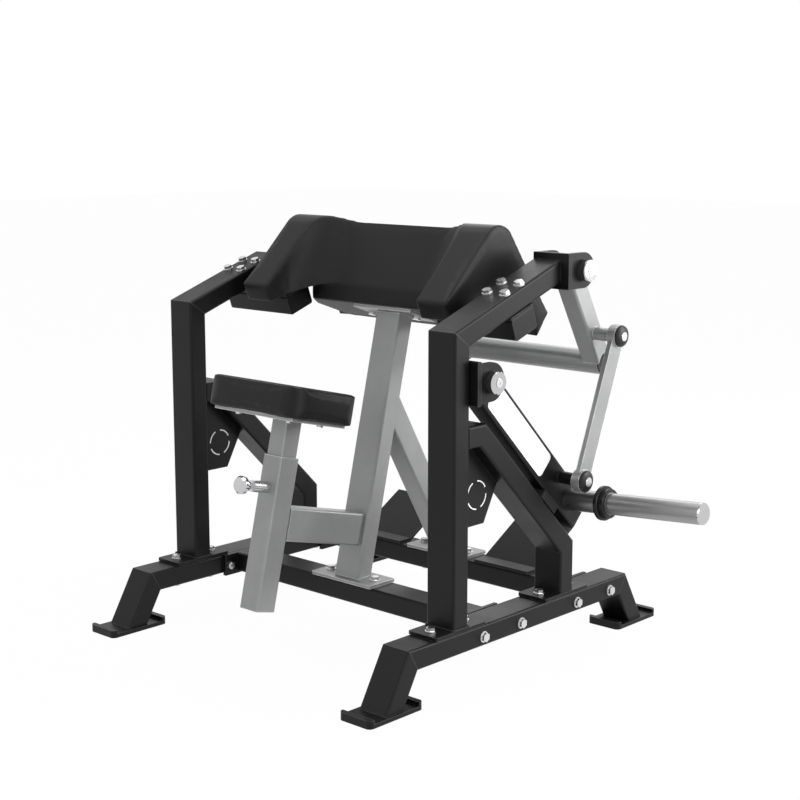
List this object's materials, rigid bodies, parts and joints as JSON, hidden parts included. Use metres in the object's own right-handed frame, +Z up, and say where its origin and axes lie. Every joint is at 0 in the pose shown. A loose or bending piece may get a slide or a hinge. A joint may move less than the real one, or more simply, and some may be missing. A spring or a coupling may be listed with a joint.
{
  "type": "plate-loaded arm curl machine",
  "caption": "Seated arm curl machine: welded box-tube frame, two-lobed arm pad, sliding seat, and a curl arm that lifts a plate-loaded lever through a link.",
  "frame": {"origin": "on the floor, midway between the four anchor holes in the feet", "axes": "+X to the sitter's right, where the weight horn is; +Y the way the sitter faces; +Z up"},
  "size_m": [1.3257, 1.0606, 1.0153],
  "materials": {
    "black_powder": "satin",
    "silver_powder": "satin",
    "zinc": "satin",
    "chrome": "polished",
    "black_plastic": "matte",
    "board_grey": "matte",
    "rubber": "matte",
    "upholstery": "satin",
    "white_label": "gloss"
  },
  "bodies": {
    "frame": {"rail_left": "black_powder", "rail_right": "black_powder", "legs_left": "black_powder", "legs_right": "black_powder", "post_left": "black_powder", "post_right": "black_powder", "upper_beam_left": "black_powder", "upper_beam_right": "black_powder", "brace_left": "black_powder", "brace_right": "black_powder", "foot_plates": "black_powder", "base_plates": "black_powder", "gussets": "black_powder", "beam_front": "black_powder", "beam_rear": "black_powder", "beam_end_plates": "black_powder", "pad_stubs": "black_powder", "stub_plates": "black_powder", "arm_bracket": "black_powder", "lever_bracket": "black_powder", "footrest_left": "black_powder", "footrest_right": "black_powder", "center_plates": "silver_powder", "center_post": "silver_powder", "center_flange": "silver_powder", "diagonal_support": "silver_powder", "seat_sleeve": "silver_powder", "seat_link_tube": "silver_powder", "base_bolts": "zinc", "beam_bolts": "zinc", "stub_bolts": "zinc", "flange_bolts": "zinc", "washers": "zinc", "nuts": "zinc", "pivot_screws": "zinc", "pivot_pins": "zinc", "pin_barrel": "zinc", "pivot_caps": "chrome", "bumper": "rubber", "pad_board": "board_grey", "preacher_pad": "upholstery"},
    "seat": {"seat_tube": "silver_powder", "seat_plate": "silver_powder", "seat_pad": "upholstery", "seat_bolts": "zinc"},
    "pin": {"pin_knob": "chrome"},
    "arm": {"arm_tube": "silver_powder", "handle_tubes": "silver_powder", "handle_plugs": "black_plastic", "handle_grip": "rubber"},
    "lever": {"lever_tube": "black_powder", "lever_cap": "black_plastic", "lever_label": "white_label", "link_pin": "zinc", "horn_tube": "chrome", "horn_cap": "chrome", "horn_collar": "black_plastic"},
    "link": {"link_bar": "silver_powder", "link_caps": "black_plastic", "link_bolts": "zinc"}
  },
  "joints": [
    {"name": "arm_curl", "type": "hinge", "parent": "frame", "child": "arm", "pos_m": [0.446, 0.16985, 0.91172], "axis": [1, 0, 0], "range_deg": [0, 110]},
    {"name": "lever_lift", "type": "hinge", "parent": "frame", "child": "lever", "pos_m": [0.446, -0.15915, 0.691], "axis": [1, 0, 0], "range_deg": [0, 44.13]},
    {"name": "link_swing", "type": "hinge", "parent": "lever", "child": "link", "pos_m": [0.529, 0.12984, 0.42859], "axis": [1, 0, 0], "range_deg": [-31.76, 0]},
    {"name": "seat_slide", "type": "slide", "parent": "frame", "child": "seat", "axis": [0, 0.2334, 0.9724], "range_m": [-0.06, 0.06]},
    {"name": "pin_push", "type": "slide", "parent": "frame", "child": "pin", "axis": [0, -0.9724, 0.2334], "range_m": [-0.012, 0]}
  ],
  "couplings": [
    {"joint": "lever_lift", "follows": "arm_curl", "ratio": 0.40028},
    {"joint": "link_swing", "follows": "arm_curl", "ratio": -0.28784}
  ]
}
